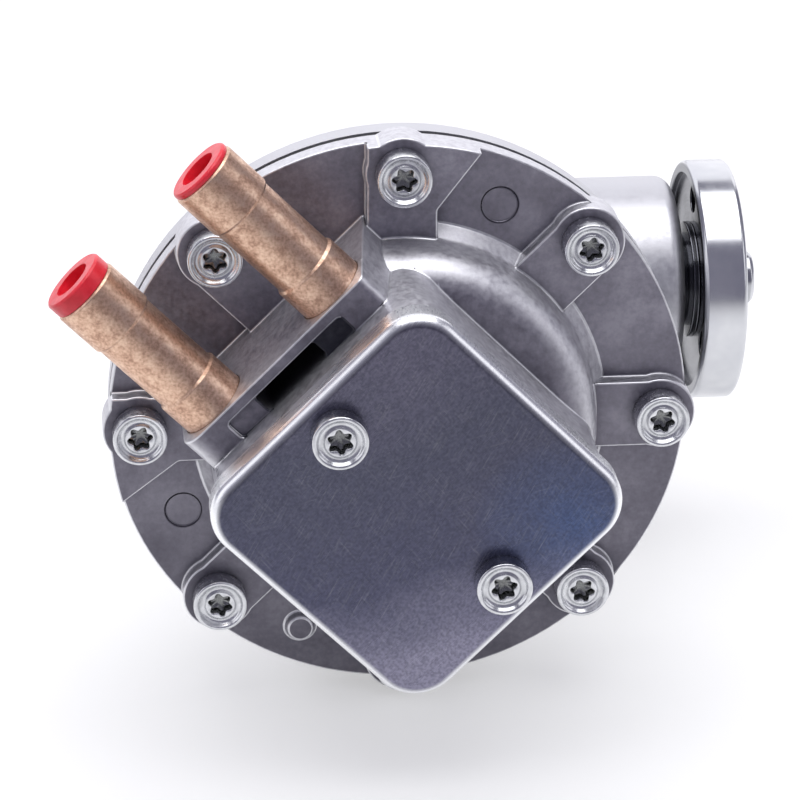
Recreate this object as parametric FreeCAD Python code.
import FreeCAD, Part
import math
import os
from FreeCAD import Placement, Rotation, Vector

# Brake vacuum pump: a diaphragm pump that a pulley drives through an eccentric.
# World frame in millimetres, +Z up. The origin is the centre of the foot's bolt pattern, on its bottom face.
# The shaft runs along X above the origin, with the drive hub at +X. The diaphragm axis runs along Y,
# with the pump cover and its square valve cap on the -Y side.

os.makedirs("parts", exist_ok=True)

# Flanges, diaphragm and their screws
flange_radius = 59.0
flange_screw_count = 8
flange_screw_inset = 6.0
flange_screw_circle = flange_radius - flange_screw_inset
flange_boss_radius = 7.4
cover_flange_thickness = 4.5
housing_flange_thickness = 5.0
diaphragm_thickness = 1.5
pad_height = 3.5
pad_half_width = 7.0
pad_flare = 10.5
pad_flare_gap = 3.0
clamp_width = 9.0
clamp_rise = 1.0
clamp_inner_radius = flange_screw_circle - clamp_width
diaphragm_inset = 0.4
diaphragm_bend = 2.0

# Screws
screw_radius = 2.5
screw_hole_clearance = 0.25
flange_screw_length = 16.0
screw_head_radius = 5.5
screw_head_height = 5.0
socket_radius = 2.2
socket_depth = 2.6
cap_screw_length = 12.0
cap_screw_head_height = 4.2
end_cover_screw_radius = 2.0
end_cover_screw_length = 10.0
end_cover_screw_head_radius = 3.6
end_cover_screw_head_height = 3.0

# Dome and pump chamber of the cover
dome_foot_radius = 42.2
dome_foot_height = 3.5
dome_foot_round = 3.0
dome_wall_radius = 39.6
dome_shoulder_radius = 38.6
dome_height = 16.5
dome_round = 8.0
pump_ceiling_height = 7.0
pump_ceiling_radius = 32.5
pump_step_radius = 35.0
pump_step_height = -2.0
valve_floor_thickness = 5.0
ejector_mark_radius = 3.7
ejector_mark_depth = 0.3
ejector_mark_places = [(19.9, 44.8), (-44.4, -19.3)]
lump_place = (-20.6, -46.5)
lump_radius = 3.6
lump_height = 1.8

# Valve chamber, turned 45 degrees, and its stamped cap
chamber_offset = (0.35, -1.6)
chamber_half_side = 29.4
chamber_corner_radius = 7.8
chamber_wall = 4.0
divider_thickness = 4.0
cap_face_height = 45.0
cap_sheet = 1.5
cap_skirt_clearance = 0.1
cap_skirt_depth = 5.5
cap_bend_radius = 2.4
cap_gasket_thickness = 0.8
cap_screw_offset = 22.5
cap_screw_shift = 0.8
cap_screw_boss_radius = 6.0

# Nipple block and the two brass hose nipples
nipple_block_outer = 36.35
nipple_block_end_wall = 1.3
nipple_block_slope = 3.0
nipple_block_lean = 1.0
nipple_block_height = 28.0
nipple_block_round = 5.0
nipple_block_upper_round = 2.0
nipple_recess_wall = 2.4
nipple_recess_half_length = 8.0
nipple_recess_floor = 12.0
nipple_recess_cover = 0.3
nipple_recess_step_reach = 15.5
nipple_shift = -1.0
nipple_spacing = 32.8
nipple_height = 19.5
nipple_bore_radius = 5.2
nipple_spigot_radius = 7.3
nipple_spigot_depth = 6.5
nipple_collar_radius = 7.3
nipple_collar_length = 7.0
nipple_shank_radius = 6.8
nipple_shank_length = 17.3
nipple_end_radius = 7.2
nipple_end_length = 10.5
nipple_chamfer = 0.5
plug_clearance = 0.1
plug_insert_depth = 9.0
plug_wall = 1.1
plug_rim_radius = 6.9
plug_chamfer = 0.6
plug_rim_chamfer = 0.4
plug_grip_half_thickness = 0.6
plug_grip_depth = 1.0
plug_rim_lengths = {"inlet": 3.2, "outlet": 1.2}

# Valves
valve_spread = 13.0
seat_radius = 10.5
seat_thickness = 3.0
seat_ledge = 1.6
seat_port_count = 6
seat_port_radius = 1.8
seat_port_circle = 5.6
disc_radius = 8.2
disc_thickness = 1.2
valve_lift = 1.5
stem_radius = 1.4
stem_head_radius = 3.4
stem_head_thickness = 0.9
stem_foot_radius = 2.2
stem_foot_thickness = 0.6
stem_clearance = 0.12
spring_radius = 2.5
spring_wire = 0.6
spring_turns = 3
spring_length = 3.0
spring_end_gap = 0.05

# Drive: depth of the shaft behind the cover's face, height above the foot, stroke
shaft_depth = 74.0
axis_height = 62.0
eccentricity = 4.0
shaft_radius = 8.5
crank_seat_radius = 7.0
shaft_inner_end = -12.0
spigot_radius = 6.0
spigot_length = 5.6
shaft_chamfer = 0.8
eccentric_radius = 13.0
eccentric_half_width = 9.0
counterweight_start = 10.0
collar_wall = 2.5
counterweight_thickness = 8.0
counterweight_radius = 25.0
counterweight_angle = 150.0
counterweight_boss_radius = 11.2

# Rod bearing and connecting rod
running_gap = 0.05
rod_roller_radius = 1.75
rod_roller_count = 12
rod_ring_wall = 2.0
rod_eye_wall = 2.5
rod_eye_half_width = 8.5
rod_shank_radius = 7.5
rod_shank_root_radius = 9.2
rod_seat_radius = 12.5
rod_seat_thickness = 3.0
rod_screw_radius = 4.0
rod_screw_depth = 13.0
rod_screw_head_radius = 6.5
rod_screw_head_height = 3.0
plate_thickness = 2.5
front_plate_radius = 28.0
rear_plate_radius = 27.0
plate_edge_chamfer = 0.8

# Shaft bearings in the neck
bearing_outer_radius = 20.0
bearing_width = 12.0
bearing_ring_share = 0.226
bearing_roller_count = 9
cage_half_wall = 0.55
roller_end_gap = 1.8
bearing_start = 25.0
bearing_spacing = 10.0
spacer_wall = 2.0
circlip_thickness = 1.5
circlip_depth = 1.0
circlip_width = 3.0
circlip_gap_angle = 40.0
seal_gap = 0.6
seal_width = 5.0
seal_case_wall = 1.2
seal_lip_depth = 2.4
seal_lip_chamfer = 1.5
seal_lip_land = 1.0
seal_lip_back = 0.7
seal_lip_thickness = 1.2
seal_sleeve_wall = 2.0

# Housing
crankcase_wall = 2.2
crankcase_cavity_radius = 26.5
crankcase_radius = crankcase_cavity_radius + crankcase_wall
crankcase_start = -15.5
crankcase_cavity_end = 20.0
crankcase_end = 24.0
neck_wall = 3.4
neck_radius = bearing_outer_radius + neck_wall
neck_start = 32.0
neck_end = 68.5
neck_round = 3.4
neck_root_round = 4.0
bearing_shoulder = 3.0
bearing_shoulder_radius = bearing_outer_radius - bearing_shoulder
rod_passage_radius = 17.0
rod_passage_start = 33.0
bowl_inset = 9.0
bowl_outer_radius = flange_radius - bowl_inset
bowl_wall_depth = 4.0
bowl_room_taper = 4.0
bowl_round = 4.0
bowl_waist_radius = 21.0
bowl_waist_depth = 47.0
bowl_rib_half_thickness = 2.0
bowl_rib_end = 46.0
bowl_rib_toe = 1.0
flange_boss_rear_radius = 5.0
flange_boss_depth = 13.5
end_cover_thickness = 3.5
end_cover_spigot = 2.0
end_cover_spigot_wall = 4.0
end_cover_clearance = 0.1
end_cover_seat_clearance = 1.0
end_cover_gasket = 0.8
lug_radius = 5.0
lug_circle = 30.5
lug_count = 4
lug_first_angle = 25.0
lug_depth = 12.0
vent_radius = 2.5
foot_thickness = 8.0
foot_front_half_width = 17.0
foot_rear_half_width = 34.0
foot_front_reach = 59.0
foot_shoulder_reach = 27.0
foot_rear_reach = 30.0
foot_corner_radius = 7.0
foot_hole_spacing_x = 50.0
foot_hole_spacing_y = 38.0
foot_hole_radius = 4.5
foot_web_half_thickness = 4.0
foot_web_overlap = 6.0
foot_rib_half_thickness = 3.5
foot_rib_overlap = 12.0
foot_rib_place = 8.0
foot_rib_top_half_width = 20.0

# Drive hub
hub_start = 71.8
hub_radius = 26.8
hub_thickness = 9.6
hub_edge_chamfer = 0.8
hub_hole_circle = 19.0
hub_hole_radius = 3.0
hub_hole_count = 3
hub_relief_inner_radius = 13.0
hub_relief_outer_radius = 24.0
hub_relief_depth = 1.4

# Derived places along the pump axis, as heights in front of the cover's sunken face
joint_face = -cover_flange_thickness
housing_face = joint_face - diaphragm_thickness
housing_back = housing_face - housing_flange_thickness
diaphragm_front = joint_face + eccentricity
diaphragm_back = diaphragm_front - diaphragm_thickness
front_plate_face = diaphragm_front + plate_thickness
rod_end_face = diaphragm_back - plate_thickness
valve_floor = pump_ceiling_height + valve_floor_thickness
nipple_recess_step_floor = nipple_height + nipple_spigot_radius + nipple_recess_cover
gasket_face = cap_face_height - cap_sheet
chamber_top = gasket_face - cap_gasket_thickness
cap_half_side = chamber_half_side + cap_skirt_clearance + cap_sheet
cap_corner_radius = chamber_corner_radius + cap_skirt_clearance + cap_sheet
pocket_half_side = chamber_half_side - chamber_wall
pocket_corner_radius = chamber_corner_radius - chamber_wall
screw_hole_radius = screw_radius + screw_hole_clearance

# Derived places along the shaft
rod_pitch_radius = eccentric_radius + running_gap + rod_roller_radius
rod_race_radius = rod_pitch_radius + rod_roller_radius + running_gap
rod_ring_radius = rod_race_radius + rod_ring_wall
rod_eye_radius = rod_ring_radius + rod_eye_wall
bearing_ring_wall = bearing_ring_share * (bearing_outer_radius - shaft_radius)
bearing_pitch_radius = (shaft_radius + bearing_outer_radius) / 2
bearing_roller_radius = (bearing_outer_radius - shaft_radius) / 2 - bearing_ring_wall - running_gap
second_bearing_start = bearing_start + bearing_width + bearing_spacing
bearings_end = second_bearing_start + bearing_width
seal_start = bearings_end + circlip_thickness + seal_gap
seal_sleeve_radius = shaft_radius + seal_sleeve_wall
hub_end = hub_start + hub_thickness
gasket_start = crankcase_start - end_cover_gasket
end_cover_outer = gasket_start - end_cover_thickness


def rounded_wire(corners):
    """Closed wire through (x, y) or (x, y, radius) corners in the XY plane."""
    rows = [tuple(corner) + (0.0,) * (3 - len(corner)) for corner in corners]
    points = [Vector(x, y, 0) for x, y, _ in rows]
    bends = []
    for i, (_, _, radius) in enumerate(rows):
        back = (points[i - 1] - points[i]).normalize()
        ahead = (points[(i + 1) % len(rows)] - points[i]).normalize()
        if not radius:
            bends.append((points[i], None, points[i]))
            continue
        half_angle = back.getAngle(ahead) / 2
        setback = radius / math.tan(half_angle)
        middle = (back + ahead).normalize() * (radius / math.sin(half_angle) - radius)
        bends.append((points[i] + back * setback, points[i] + middle, points[i] + ahead * setback))
    edges = []
    for i, (start, middle, end) in enumerate(bends):
        if middle:
            edges.append(Part.Arc(start, middle, end).toShape())
        following = bends[(i + 1) % len(bends)][0]
        if end.distanceToPoint(following) > 1e-6:
            edges.append(Part.LineSegment(end, following).toShape())
    return Part.Wire(edges)


def turned(corners):
    """Solid of revolution about Z from a closed outline of (radius, height) corners."""
    solid = Part.Face(rounded_wire(corners)).revolve(Vector(), Vector(0, 1, 0), 360)
    solid.rotate(Vector(), Vector(1, 0, 0), 90)
    return solid


def plate(corners, low, high):
    """Flat plate between two heights from a closed outline."""
    face = Part.Face(rounded_wire(corners))
    face.translate(Vector(0, 0, low))
    return face.extrude(Vector(0, 0, high - low))


def rectangle(x_low, x_high, y_low, y_high, radius=0.0):
    corners = [(x_low, y_low), (x_high, y_low), (x_high, y_high), (x_low, y_high)]
    return [(x, y, radius) for x, y in corners]


def round_bar(radius, low, high, x=0.0, y=0.0):
    return Part.makeCylinder(radius, high - low, Vector(x, y, low))


def ring(outer, inner, low, high):
    return round_bar(outer, low, high).cut(round_bar(inner, low, high))


def around(count, circle, first_angle=0.0):
    """Centres spaced evenly on a circle about Z."""
    angles = [math.radians(first_angle + 360 * i / count) for i in range(count)]
    return [(circle * math.cos(angle), circle * math.sin(angle)) for angle in angles]


def joined(shapes):
    first, *others = shapes
    return first.fuse(others).removeSplitter() if others else first


def bars(radius, places, low, high):
    return [round_bar(radius, low, high, x, y) for x, y in places]


# Placements of the three local frames
# Front frame: local Z runs toward the viewer (-Y) from the cover's sunken face, local Y is up.
front_frame = Placement(Vector(0, -shaft_depth, axis_height), Rotation(Vector(1, 0, 0), 90))
# Chamber frame: the front frame turned 45 degrees, with its centre moved a little.
chamber_turn = Placement(Vector(), Rotation(Vector(0, 0, 1), -45)).multiply(
    Placement(Vector(*chamber_offset, 0), Rotation())
)
chamber_frame = front_frame.multiply(chamber_turn)
# Shaft frame: local Z runs along the shaft toward the hub (+X), local Y is up, local X runs along +Y.
shaft_frame = Placement(Vector(0, 0, axis_height), Rotation(Vector(1, 1, 1), 120))
# Eccentric frame: the shaft frame moved to the eccentric's centre, which stands nearest the cover at rest.
eccentric_frame = shaft_frame.multiply(Placement(Vector(-eccentricity, 0, 0), Rotation()))


def placed(shape, frame):
    result = shape.copy()
    result.Placement = frame.multiply(result.Placement)
    return result


def write(name, shape, frame=Placement()):
    placed(shape, frame).exportStep(f"parts/{name}.step")


flange_screw_places = around(flange_screw_count, flange_screw_circle)
lug_places = around(lug_count, lug_circle, lug_first_angle)
cap_screw_places = [(-cap_screw_offset, cap_screw_shift), (cap_screw_offset, cap_screw_shift)]
nipple_places = {"inlet": nipple_shift - nipple_spacing / 2, "outlet": nipple_shift + nipple_spacing / 2}
valve_places = {"inlet": -valve_spread, "outlet": valve_spread}


# Flanges and cover
def flange_blank(low, high):
    """Round cover flange with a boss bulging from its rim at every screw."""
    disc = round_bar(flange_radius, low, high)
    return joined([disc] + bars(flange_boss_radius, flange_screw_places, low, high))


def cover_pads():
    """Raised radial pads, one per screw; the top and left ones flare at the rim, away from the nipples."""
    inner = pump_ceiling_radius
    plain = rectangle(inner, flange_screw_circle, -pad_half_width, pad_half_width)
    flared = [
        (inner, -pad_half_width),
        (dome_foot_radius + pad_flare_gap, -pad_half_width),
        (flange_radius, -pad_half_width - pad_flare),
        (flange_radius, pad_half_width),
        (inner, pad_half_width),
    ]
    mirrored = [(x, -y) for x, y in flared]
    special = {90: flared, 180: mirrored}
    pads = []
    for i in range(flange_screw_count):
        angle = 360 / flange_screw_count * i
        pad = plate(special.get(angle, plain), 0, pad_height)
        pad.rotate(Vector(), Vector(0, 0, 1), angle)
        pads.append(pad)
    heads = bars(flange_boss_radius, flange_screw_places, 0, pad_height)
    return joined(pads + heads).common(flange_blank(0, pad_height))


def dome():
    """Shouldered dome, cut flat in line with the nipple block's outer face."""
    body = turned([
        (0, joint_face),
        (dome_foot_radius, joint_face),
        (dome_foot_radius, 0),
        (dome_wall_radius, dome_foot_height, dome_foot_round),
        (dome_shoulder_radius, dome_height, dome_round),
        (0, dome_height),
    ])
    flat = Part.makeBox(flange_radius, 2 * flange_radius, dome_height,
                        Vector(-flange_radius - nipple_block_outer, -flange_radius, 0))
    return body.cut(placed(flat, chamber_turn))


def chamber_blank():
    side = chamber_half_side
    return plate(rectangle(-side, side, -side, side, chamber_corner_radius), 0, chamber_top)


def nipple_block():
    """Wall that carries both nipples, joined to the chamber except at a deep recess between them."""
    reach = nipple_spacing / 2 + nipple_spigot_radius + nipple_block_end_wall
    block = plate([
        (-reach, 0),
        (reach + nipple_block_slope, 0),
        (reach - nipple_block_lean, nipple_block_height, nipple_block_upper_round),
        (-reach, nipple_block_height, nipple_block_round),
    ], 0, nipple_block_outer)
    # The outline was drawn across the block: its X runs along the wall and its Y is height.
    block.Placement = Placement(Vector(-nipple_block_outer, nipple_shift, 0), Rotation(Vector(1, 1, 1), 120))
    return block


def nipple_recess():
    """Deep slot behind the nipple wall, with a shallow step over each nipple's passage."""
    outer = -nipple_block_outer + nipple_recess_wall
    half = nipple_recess_half_length
    slot = plate(rectangle(outer, -chamber_half_side, -half, half, 1.0), nipple_recess_floor, chamber_top)
    reach = nipple_recess_step_reach
    step = plate(rectangle(outer, -chamber_half_side, -reach, reach, 1.0), nipple_recess_step_floor,
                 chamber_top)
    for shape in (slot, step):
        shape.translate(Vector(0, nipple_shift, 0))
    return [slot, step]


def chamber_pockets(low, high):
    """The two rooms of the valve chamber, one per nipple, clear of the cap's screw bosses."""
    side = pocket_half_side
    bosses = bars(cap_screw_boss_radius, cap_screw_places, low, high)
    upper = plate(rectangle(-side, side, divider_thickness / 2, side, pocket_corner_radius), low, high)
    lower = plate(rectangle(-side, side, -side, -divider_thickness / 2, pocket_corner_radius), low, high)
    return [room.cut(bosses) for room in (upper, lower)]


def nipple_bores(side):
    """Socket for the nipple's spigot and the narrower passage into the valve chamber."""
    reach = nipple_block_outer - pocket_half_side
    passage = round_bar(nipple_bore_radius, -1, reach + 1)
    socket = round_bar(nipple_spigot_radius, reach - nipple_spigot_depth, reach + 1)
    place = Placement(Vector(-pocket_half_side, nipple_places[side], nipple_height),
                      Rotation(Vector(0, 1, 0), -90))
    return [placed(passage, place), placed(socket, place)]


def valve_bores(side):
    """Seat bore in the valve floor with a ledge below it."""
    y = valve_places[side]
    return [
        round_bar(seat_radius, valve_floor - seat_thickness, valve_floor + 1, 0, y),
        round_bar(seat_radius - seat_ledge, pump_ceiling_height - 1, valve_floor, 0, y),
    ]


def pump_cover():
    block = joined([chamber_blank(), nipple_block()])
    lump = turned([(0, -1), (lump_radius, -1), (lump_radius - 1, lump_height), (0, lump_height)])
    lump.translate(Vector(*lump_place, 0))
    body = joined([flange_blank(joint_face, 0), dome(), cover_pads(), placed(block, chamber_turn), lump])
    cavity = turned([
        (0, joint_face - 1),
        (clamp_inner_radius, joint_face - 1),
        (clamp_inner_radius, pump_step_height - clamp_rise),
        (pump_step_radius, pump_step_height),
        (pump_ceiling_radius, pump_ceiling_height),
        (0, pump_ceiling_height),
    ])
    cuts = [cavity]
    cuts += bars(screw_hole_radius, flange_screw_places, joint_face - 1, pad_height + 1)
    cuts += bars(ejector_mark_radius, ejector_mark_places, -ejector_mark_depth, 1)
    chamber_cuts = chamber_pockets(valve_floor, chamber_top + 1) + nipple_recess()
    chamber_cuts += bars(screw_radius, cap_screw_places, cap_face_height - cap_screw_length, chamber_top + 1)
    for side in ("inlet", "outlet"):
        chamber_cuts += nipple_bores(side) + valve_bores(side)
    cuts += [placed(shape, chamber_turn) for shape in chamber_cuts]
    return body.cut(cuts)


def diaphragm():
    """Rubber sheet clamped between the flanges, its middle clamped between the plates at top dead centre."""
    clamp = ring(flange_radius - diaphragm_inset, clamp_inner_radius, housing_face, joint_face)
    clamp = clamp.cut(bars(screw_radius, flange_screw_places, housing_face, joint_face))
    plate_reach = front_plate_radius + diaphragm_bend
    clamp_reach = clamp_inner_radius - diaphragm_bend
    middle = turned([
        (rod_screw_radius, diaphragm_back),
        (plate_reach, diaphragm_back),
        (clamp_reach, housing_face),
        (clamp_inner_radius, housing_face),
        (clamp_inner_radius, joint_face),
        (clamp_reach, joint_face),
        (plate_reach, diaphragm_front),
        (rod_screw_radius, diaphragm_front),
    ])
    return joined([clamp, middle])


# Screws
def screw(radius, length, head_radius, head_height, socket_scale=1.0):
    """Screw along Z with its head seat at height 0 and a six-sided socket in its head."""
    socket = plate(around(6, socket_radius * socket_scale), head_height - socket_depth * socket_scale,
                   head_height + 1)
    shank = round_bar(radius, -length, 0)
    head = round_bar(head_radius, 0, head_height)
    return joined([shank, head]).cut(socket)


def screws(shape, places, height):
    group = []
    for x, y in places:
        one = shape.copy()
        one.translate(Vector(x, y, height))
        group.append(one)
    return Part.makeCompound(group)


# Valve chamber closure
def valve_cap():
    """Stamped sheet lid whose skirt reaches down over the chamber wall."""
    outer_side = cap_half_side
    inner_side = cap_half_side - cap_sheet
    low = gasket_face - cap_skirt_depth
    outer = plate(
        rectangle(-outer_side, outer_side, -outer_side, outer_side, cap_corner_radius),
        low, cap_face_height,
    )
    inner = plate(
        rectangle(-inner_side, inner_side, -inner_side, inner_side, cap_corner_radius - cap_sheet),
        low, gasket_face,
    )
    face_edges = [e for e in outer.Edges if e.BoundBox.ZMin > cap_face_height - 1e-6]
    outer = outer.makeFillet(cap_bend_radius, face_edges)
    inner = inner.makeFillet(
        cap_bend_radius - cap_sheet, [e for e in inner.Edges if e.BoundBox.ZMin > gasket_face - 1e-6]
    )
    holes = bars(screw_hole_radius, cap_screw_places, low, cap_face_height)
    return outer.cut([inner] + holes)


def valve_cap_gasket():
    side = chamber_half_side - (cap_bend_radius - cap_sheet)
    sheet = plate(
        rectangle(-side, side, -side, side, chamber_corner_radius - (cap_bend_radius - cap_sheet)),
        chamber_top, gasket_face,
    )
    return sheet.cut(chamber_pockets(chamber_top, gasket_face)
                     + bars(screw_radius, cap_screw_places, chamber_top, gasket_face))


# Nipples and transport plugs, along local Z from the nipple block's outer face outward
collar_end = nipple_collar_length
shank_end = collar_end + nipple_shank_length
nipple_end = shank_end + nipple_end_length


def nipple_placement(side):
    return chamber_frame.multiply(Placement(
        Vector(-nipple_block_outer, nipple_places[side], nipple_height), Rotation(Vector(0, 1, 0), -90)
    ))


def nipple():
    return turned([
        (nipple_bore_radius, -nipple_spigot_depth),
        (nipple_spigot_radius, -nipple_spigot_depth),
        (nipple_collar_radius, collar_end),
        (nipple_shank_radius, collar_end + nipple_chamfer),
        (nipple_shank_radius, shank_end),
        (nipple_end_radius, shank_end + nipple_chamfer),
        (nipple_end_radius, nipple_end - nipple_chamfer),
        (nipple_end_radius - nipple_chamfer, nipple_end),
        (nipple_bore_radius, nipple_end),
    ])


def transport_plug(side):
    """Hollow plug pushed into the nipple's mouth, open outward, with a rim that stands on the mouth."""
    outer = nipple_bore_radius - plug_clearance
    inner = outer - plug_wall
    rim_top = nipple_end + plug_rim_lengths[side]
    floor = nipple_end - plug_insert_depth
    cup = turned([
        (0, floor),
        (outer - plug_chamfer, floor),
        (outer, floor + plug_chamfer),
        (outer, nipple_end),
        (plug_rim_radius, nipple_end),
        (plug_rim_radius, rim_top - plug_rim_chamfer),
        (plug_rim_radius - plug_rim_chamfer, rim_top),
        (inner, rim_top),
        (inner, floor + plug_wall),
        (0, floor + plug_wall),
    ])
    half = plug_grip_half_thickness
    grip = plate(rectangle(-half, half, -inner, inner), floor + plug_wall, nipple_end - plug_grip_depth)
    return joined([cup, grip.common(round_bar(inner, floor, rim_top))])


# Valves, in the chamber frame; the inlet opens toward the pump chamber and the outlet away from it
def valve_seat(side):
    y = valve_places[side]
    low = valve_floor - seat_thickness
    blank = round_bar(seat_radius, low, valve_floor)
    ports = bars(seat_port_radius, around(seat_port_count, seat_port_circle), low, valve_floor)
    seat = blank.cut(ports + [round_bar(stem_radius, low, valve_floor)])
    seat.translate(Vector(0, y, 0))
    return seat


def valve_face(side):
    """Height of the seat face on which the disc rests, and the direction in which the disc lifts."""
    return (valve_floor, 1) if side == "outlet" else (valve_floor - seat_thickness, -1)


def on_valve(shape, side):
    """Moves a shape built above height 0 onto its seat face, upside down for the inlet."""
    face, way = valve_face(side)
    if way < 0:
        shape.rotate(Vector(), Vector(1, 0, 0), 180)
    shape.translate(Vector(0, valve_places[side], face))
    return shape


def valve_disc(side):
    return on_valve(ring(disc_radius, stem_radius + stem_clearance, 0, disc_thickness), side)


spring_low = disc_thickness + spring_end_gap
stem_head_low = spring_low + spring_length + spring_end_gap


def valve_stem(side):
    stem = turned([
        (0, -seat_thickness - stem_foot_thickness),
        (stem_foot_radius, -seat_thickness - stem_foot_thickness),
        (stem_foot_radius, -seat_thickness),
        (stem_radius, -seat_thickness),
        (stem_radius, stem_head_low),
        (stem_head_radius, stem_head_low),
        (stem_head_radius, stem_head_low + stem_head_thickness),
        (0, stem_head_low + stem_head_thickness),
    ])
    return on_valve(stem, side)


def valve_spring(side):
    """Coil spring of square wire between the disc and the stem's head."""
    rise = spring_length - spring_wire
    path = Part.makeHelix(rise / spring_turns, rise, spring_radius)
    half = spring_wire / 2
    section = rounded_wire(rectangle(spring_radius - half, spring_radius + half, -half, half))
    section.rotate(Vector(), Vector(1, 0, 0), 90)
    coil = Part.Wire(path).makePipeShell([section], True, True)
    coil.translate(Vector(0, 0, spring_low + half))
    return on_valve(coil, side)


# Drive train, in the shaft frame
def drive_shaft():
    return turned([
        (0, shaft_inner_end),
        (crank_seat_radius - shaft_chamfer, shaft_inner_end),
        (crank_seat_radius, shaft_inner_end + shaft_chamfer),
        (crank_seat_radius, -eccentric_half_width - circlip_thickness),
        (crank_seat_radius - circlip_depth, -eccentric_half_width - circlip_thickness),
        (crank_seat_radius - circlip_depth, -eccentric_half_width),
        (crank_seat_radius, -eccentric_half_width),
        (crank_seat_radius, counterweight_start + counterweight_thickness),
        (shaft_radius, counterweight_start + counterweight_thickness),
        (shaft_radius, hub_end),
        (spigot_radius, hub_end),
        (spigot_radius, hub_end + spigot_length - shaft_chamfer),
        (spigot_radius - shaft_chamfer, hub_end + spigot_length),
        (0, hub_end + spigot_length),
    ])


def eccentric():
    """Eccentric journal pressed on the shaft's inner end, with a collar against the counterweight."""
    journal = round_bar(eccentric_radius, -eccentric_half_width, eccentric_half_width, -eccentricity)
    collar = round_bar(crank_seat_radius + collar_wall, eccentric_half_width, counterweight_start)
    return joined([journal, collar]).cut(
        round_bar(crank_seat_radius, -eccentric_half_width, counterweight_start)
    )


def counterweight():
    """Sector opposite the eccentric on a boss that reaches the first bearing."""
    top = counterweight_start + counterweight_thickness
    half_angle = math.radians(counterweight_angle / 2)
    reach = counterweight_radius
    corner = (reach * math.cos(half_angle), reach * math.sin(half_angle))
    mirrored = (corner[0], -corner[1])
    arc = Part.Arc(Vector(*mirrored, 0), Vector(reach, 0, 0), Vector(*corner, 0)).toShape()
    chord = Part.LineSegment(Vector(*corner, 0), Vector(*mirrored, 0)).toShape()
    sector = Part.Face(Part.Wire([arc, chord])).extrude(Vector(0, 0, counterweight_thickness))
    sector.translate(Vector(0, 0, counterweight_start))
    disc = round_bar(counterweight_boss_radius, counterweight_start, bearing_start)
    seat = round_bar(crank_seat_radius, counterweight_start, top)
    return joined([sector, disc]).cut([seat, round_bar(shaft_radius, top, bearing_start)])


def open_ring(outer, inner, low, high):
    """Retaining ring with a gap at its lower side."""
    half_angle = math.radians(circlip_gap_angle / 2)
    reach = 2 * outer
    wedge = plate(
        [(0, 0), (-reach * math.sin(half_angle), -reach * math.cos(half_angle)),
         (reach * math.sin(half_angle), -reach * math.cos(half_angle))],
        low, high,
    )
    return ring(outer, inner, low, high).cut(wedge)


def eccentric_circlip():
    inner = crank_seat_radius - circlip_depth
    outer = inner + circlip_width
    return open_ring(outer, inner, -eccentric_half_width - circlip_thickness, -eccentric_half_width)


def bearing_circlip():
    outer = bearing_outer_radius + circlip_depth
    return open_ring(outer, outer - circlip_width, bearings_end, bearings_end + circlip_thickness)


def rollers(radius, count, circle, low, high):
    return bars(radius, around(count, circle), low, high)


def roller_cage(radius, count, circle, low, high):
    """Band on the roller circle with one pocket per roller."""
    band = ring(circle + cage_half_wall, circle - cage_half_wall, low, high)
    pockets = rollers(radius + running_gap, count, circle,
                      low + roller_end_gap / 2, high - roller_end_gap / 2)
    return band.cut(pockets)


def shaft_seal():
    """Sealing ring in the neck: a case with an inner lip that runs on the seal sleeve."""
    lip = seal_sleeve_radius + running_gap
    end = seal_start + seal_width
    return turned([
        (bearing_outer_radius, seal_start),
        (bearing_outer_radius, end),
        (lip + seal_lip_chamfer, end),
        (lip, end - seal_lip_chamfer),
        (lip, end - seal_lip_chamfer - seal_lip_land),
        (lip + seal_lip_thickness, end - seal_lip_chamfer - seal_lip_land - seal_lip_back),
        (lip + seal_lip_thickness, end - seal_case_wall - seal_lip_depth),
        (bearing_outer_radius - seal_case_wall, end - seal_case_wall - seal_lip_depth),
        (bearing_outer_radius - seal_case_wall, seal_start),
    ])


def drive_hub():
    """Flat round hub for the pulley, with tapped holes and a relief turned in its inner face."""
    blank = turned([
        (shaft_radius, hub_start),
        (hub_relief_inner_radius, hub_start),
        (hub_relief_inner_radius, hub_start + hub_relief_depth),
        (hub_relief_outer_radius, hub_start + hub_relief_depth),
        (hub_relief_outer_radius, hub_start),
        (hub_radius - hub_edge_chamfer, hub_start),
        (hub_radius, hub_start + hub_edge_chamfer),
        (hub_radius, hub_end - hub_edge_chamfer),
        (hub_radius - hub_edge_chamfer, hub_end),
        (shaft_radius, hub_end),
    ])
    return blank.cut(bars(hub_hole_radius, around(hub_hole_count, hub_hole_circle, 90), hub_start, hub_end))


# Connecting rod, in the world frame
def connecting_rod():
    """Eye round the rod bearing, tapered shank and a round seat for the diaphragm plates."""
    eye = placed(round_bar(rod_eye_radius, -rod_eye_half_width, rod_eye_half_width), eccentric_frame)
    reach = shaft_depth - eccentricity + rod_end_face
    root = rod_ring_radius
    shank = turned([
        (0, root),
        (rod_shank_root_radius, root),
        (rod_shank_radius, reach - 2 * rod_seat_thickness),
        (rod_seat_radius, reach - rod_seat_thickness),
        (rod_seat_radius, reach),
        (0, reach),
    ])
    shank = placed(shank, Placement(Vector(0, -eccentricity, axis_height), Rotation(Vector(1, 0, 0), 90)))
    bore = round_bar(rod_ring_radius, -rod_eye_half_width - 3, rod_eye_half_width + 3)
    bore = placed(bore, eccentric_frame)
    hole = placed(round_bar(rod_screw_radius, rod_end_face - rod_screw_depth, rod_end_face), front_frame)
    return joined([eye, shank]).cut([bore, hole])


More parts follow.
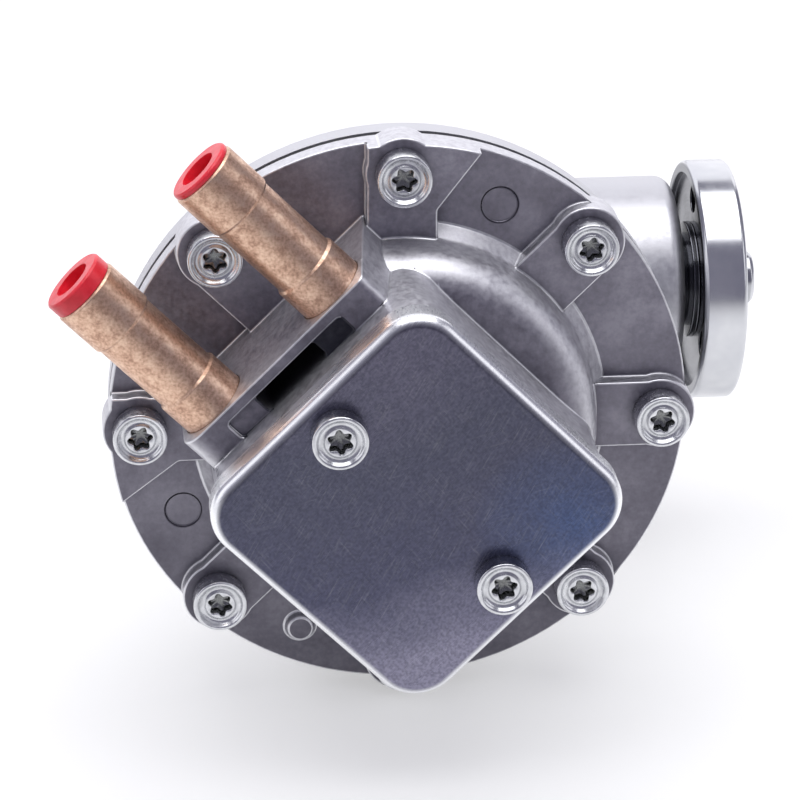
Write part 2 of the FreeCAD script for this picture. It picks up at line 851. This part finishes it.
def diaphragm_plate(radius, low, high, rubber_side):
    """Round clamping plate whose edge is chamfered on the rubber's side (-1 low, +1 high)."""
    chamfer = plate_edge_chamfer
    body = turned([(rod_screw_radius, -chamfer), (radius - chamfer, -chamfer), (radius, 0),
                   (radius, high - low - chamfer), (rod_screw_radius, high - low - chamfer)])
    if rubber_side > 0:
        body.rotate(Vector(), Vector(1, 0, 0), 180)
        body.translate(Vector(0, 0, high - chamfer))
    else:
        body.translate(Vector(0, 0, low + chamfer))
    return body


def diaphragm_screw():
    return screw(rod_screw_radius, front_plate_face - rod_end_face + rod_screw_depth,
                 rod_screw_head_radius, rod_screw_head_height)


# Housing and its end cover
def end_cover_outline(radius, low, high):
    return joined([round_bar(radius, low, high)] + bars(lug_radius, lug_places, low, high))


def foot_plate():
    outline = [
        (-foot_front_half_width, -foot_front_reach, foot_corner_radius),
        (foot_front_half_width, -foot_front_reach, foot_corner_radius),
        (foot_rear_half_width, -foot_shoulder_reach, foot_corner_radius),
        (foot_rear_half_width, foot_rear_reach, foot_corner_radius),
        (-foot_rear_half_width, foot_rear_reach, foot_corner_radius),
        (-foot_rear_half_width, -foot_shoulder_reach, foot_corner_radius),
    ]
    return plate(outline, 0, foot_thickness)


def foot_ribs():
    """One web along the pump and two across it, between the foot plate and the housing."""
    web_top = axis_height - crankcase_radius + foot_web_overlap
    web = Part.makeBox(
        2 * foot_web_half_thickness, foot_front_reach + foot_rear_reach - 2 * foot_corner_radius, web_top,
        Vector(-foot_web_half_thickness, -foot_front_reach + foot_corner_radius, 0),
    )
    top = axis_height - crankcase_radius + foot_rib_overlap
    base = foot_rear_half_width - foot_corner_radius / 2
    ribs = []
    for place in (-foot_rib_place, foot_rib_place):
        rib = plate(
            [(-base, 0), (base, 0), (base, foot_thickness), (foot_rib_top_half_width, top),
             (-foot_rib_top_half_width, top), (-base, foot_thickness)],
            -foot_rib_half_thickness, foot_rib_half_thickness,
        )
        rib.Placement = Placement(Vector(0, place, 0), Rotation(Vector(1, 0, 0), 90))
        ribs.append(rib)
    return [web] + ribs


def bowl_ribs():
    """Triangular ribs from every screw boss down the outside of the bowl."""
    ribs = []
    root = bowl_waist_radius - bowl_rib_half_thickness
    for i in range(flange_screw_count):
        rib = plate(
            [(root, housing_back), (flange_screw_circle, housing_back),
             (flange_screw_circle, -flange_boss_depth),
             (bowl_waist_radius + bowl_rib_toe, -bowl_rib_end), (root, -bowl_rib_end)],
            -bowl_rib_half_thickness, bowl_rib_half_thickness,
        )
        rib.rotate(Vector(), Vector(1, 0, 0), 90)
        rib.rotate(Vector(), Vector(0, 0, 1), 360 * i / flange_screw_count)
        ribs.append(rib)
    return ribs


def drive_housing():
    flange = round_bar(flange_radius, housing_back, housing_face)
    bosses = bars(flange_boss_rear_radius, flange_screw_places, -flange_boss_depth, housing_face)
    bowl = turned([
        (0, housing_face),
        (bowl_outer_radius, housing_face),
        (bowl_outer_radius, housing_back - bowl_wall_depth, bowl_round),
        (bowl_waist_radius, -bowl_waist_depth),
        (bowl_waist_radius, -shaft_depth),
        (0, -shaft_depth),
    ])
    seat_reach = lug_circle + lug_radius + end_cover_seat_clearance
    seat = placed(round_bar(seat_reach, crankcase_start - bowl_outer_radius, crankcase_start), shaft_frame)
    front = [placed(shape, front_frame).cut(seat) for shape in [flange, bowl] + bosses + bowl_ribs()]
    case = turned([
        (0, crankcase_start),
        (crankcase_radius, crankcase_start),
        (crankcase_radius, crankcase_end),
        (neck_radius, neck_start, neck_root_round),
        (neck_radius, neck_end, neck_round),
        (0, neck_end),
    ])
    lugs = bars(lug_radius, lug_places, crankcase_start, crankcase_start + lug_depth)
    rear = [placed(shape, shaft_frame) for shape in [case] + lugs]
    foot = [foot_plate()] + [rib.cut(seat) for rib in foot_ribs()]
    body = joined(front + rear + foot)

    room = turned([
        (0, housing_face + 1),
        (clamp_inner_radius, housing_face + 1),
        (clamp_inner_radius, housing_back),
        (clamp_inner_radius - bowl_room_taper, housing_back - bowl_wall_depth),
        (rod_passage_radius, -rod_passage_start),
        (rod_passage_radius, -shaft_depth),
        (0, -shaft_depth),
    ])
    cuts = [placed(room, front_frame)]
    screw_end = pad_height - flange_screw_length
    cuts += [placed(bar, front_frame) for bar in bars(screw_radius, flange_screw_places, screw_end, 0)]
    bores = [
        round_bar(crankcase_cavity_radius, crankcase_start - 1, crankcase_cavity_end),
        round_bar(bearing_shoulder_radius, crankcase_cavity_end - 1, bearing_start + 1),
        round_bar(bearing_outer_radius, bearing_start, neck_end + 1),
        round_bar(bearing_outer_radius + circlip_depth, bearings_end, bearings_end + circlip_thickness),
    ]
    bores += bars(end_cover_screw_radius, lug_places, crankcase_start - 1,
                  crankcase_start - end_cover_thickness - end_cover_gasket + end_cover_screw_length)
    cuts += [placed(bore, shaft_frame) for bore in bores]
    half_x = foot_hole_spacing_x / 2
    half_y = foot_hole_spacing_y / 2
    for x, y in [(-half_x, -half_y), (half_x, -half_y), (half_x, half_y), (-half_x, half_y)]:
        cuts.append(round_bar(foot_hole_radius, -1, foot_thickness + 1, x, y))
    return body.cut(cuts)


def end_cover():
    """Plate with a locating spigot, a vent hole and one screw hole per lug."""
    plate_part = end_cover_outline(crankcase_radius, end_cover_outer, gasket_start)
    spigot = ring(
        crankcase_cavity_radius - end_cover_clearance, crankcase_cavity_radius - end_cover_spigot_wall,
        gasket_start, crankcase_start + end_cover_spigot,
    )
    holes = bars(end_cover_screw_radius + screw_hole_clearance, lug_places, end_cover_outer, gasket_start)
    vent = round_bar(vent_radius, end_cover_outer, gasket_start, 0, -crankcase_cavity_radius / 2)
    return joined([plate_part, spigot]).cut(holes + [vent])


def end_cover_gasket_ring():
    sheet = end_cover_outline(crankcase_radius, gasket_start, crankcase_start)
    holes = bars(end_cover_screw_radius, lug_places, gasket_start, crankcase_start)
    return sheet.cut(holes + [round_bar(crankcase_cavity_radius, gasket_start, crankcase_start)])


def end_cover_screws():
    one = screw(end_cover_screw_radius, end_cover_screw_length, end_cover_screw_head_radius,
                end_cover_screw_head_height, 0.75)
    one.rotate(Vector(), Vector(1, 0, 0), 180)
    return screws(one, lug_places, end_cover_outer)


# Shell and closure
write("pump_cover", pump_cover(), front_frame)
write("drive_housing", drive_housing())
write("diaphragm", diaphragm(), front_frame)
write("valve_cap", valve_cap(), chamber_frame)
write("valve_cap_gasket", valve_cap_gasket(), chamber_frame)
flange_screw = screw(screw_radius, flange_screw_length, screw_head_radius, screw_head_height)
write("flange_screws", screws(flange_screw, flange_screw_places, pad_height), front_frame)
cap_screw = screw(screw_radius, cap_screw_length, screw_head_radius, cap_screw_head_height)
write("valve_cap_screws", screws(cap_screw, cap_screw_places, cap_face_height), chamber_frame)
write("crankcase_end_cover", end_cover(), shaft_frame)
write("end_cover_gasket", end_cover_gasket_ring(), shaft_frame)
write("end_cover_screws", end_cover_screws(), shaft_frame)

# Both sides of the valve chamber
for side in ("inlet", "outlet"):
    write(f"{side}_nipple", nipple(), nipple_placement(side))
    write(f"{side}_transport_plug", transport_plug(side), nipple_placement(side))
    write(f"{side}_valve_seat", valve_seat(side), chamber_frame)
    write(f"{side}_valve_disc", valve_disc(side), chamber_frame)
    write(f"{side}_valve_stem", valve_stem(side), chamber_frame)
    write(f"{side}_valve_spring", valve_spring(side), chamber_frame)

# Diaphragm drive
write("connecting_rod", connecting_rod())
write("front_diaphragm_plate",
      diaphragm_plate(front_plate_radius, diaphragm_front, front_plate_face, -1), front_frame)
write("rear_diaphragm_plate",
      diaphragm_plate(rear_plate_radius, rod_end_face, diaphragm_back, 1), front_frame)
write("diaphragm_screw", screws(diaphragm_screw(), [(0, 0)], front_plate_face), front_frame)
write("rod_bearing_outer_ring",
      ring(rod_ring_radius, rod_race_radius, -rod_eye_half_width, rod_eye_half_width), eccentric_frame)
rod_track = (rod_roller_radius, rod_roller_count, rod_pitch_radius)
rod_roller_half = rod_eye_half_width - roller_end_gap
write("rod_bearing_rollers",
      Part.makeCompound(rollers(*rod_track, -rod_roller_half, rod_roller_half)), eccentric_frame)
cage_half = rod_roller_half + roller_end_gap / 2
write("rod_bearing_cage", roller_cage(*rod_track, -cage_half, cage_half), eccentric_frame)

# Shaft and what turns with it
write("drive_shaft", drive_shaft(), shaft_frame)
write("eccentric", eccentric(), shaft_frame)
write("eccentric_circlip", eccentric_circlip(), shaft_frame)
write("counterweight", counterweight(), shaft_frame)
inner_spacer = ring(shaft_radius + spacer_wall, shaft_radius,
                    bearing_start + bearing_width, second_bearing_start)
write("bearing_inner_spacer", inner_spacer, shaft_frame)
write("seal_sleeve", ring(seal_sleeve_radius, shaft_radius, bearings_end, hub_start), shaft_frame)
write("drive_hub", drive_hub(), shaft_frame)

# Bearings in the neck and what holds them
bearing_track = (bearing_roller_radius, bearing_roller_count, bearing_pitch_radius)
for name, start in (("crank_side", bearing_start), ("hub_side", second_bearing_start)):
    end = start + bearing_width
    outer_ring = ring(bearing_outer_radius, bearing_outer_radius - bearing_ring_wall, start, end)
    inner_ring = ring(shaft_radius + bearing_ring_wall, shaft_radius, start, end)
    write(f"{name}_bearing_outer_ring", outer_ring, shaft_frame)
    write(f"{name}_bearing_inner_ring", inner_ring, shaft_frame)
    set_of_rollers = rollers(*bearing_track, start + roller_end_gap, end - roller_end_gap)
    write(f"{name}_bearing_rollers", Part.makeCompound(set_of_rollers), shaft_frame)
    cage = roller_cage(*bearing_track, start + roller_end_gap / 2, end - roller_end_gap / 2)
    write(f"{name}_bearing_cage", cage, shaft_frame)
write("bearing_outer_spacer",
      ring(bearing_outer_radius, bearing_outer_radius - spacer_wall, bearing_start + bearing_width,
           second_bearing_start), shaft_frame)
write("bearing_circlip", bearing_circlip(), shaft_frame)
write("shaft_seal", shaft_seal(), shaft_frame)
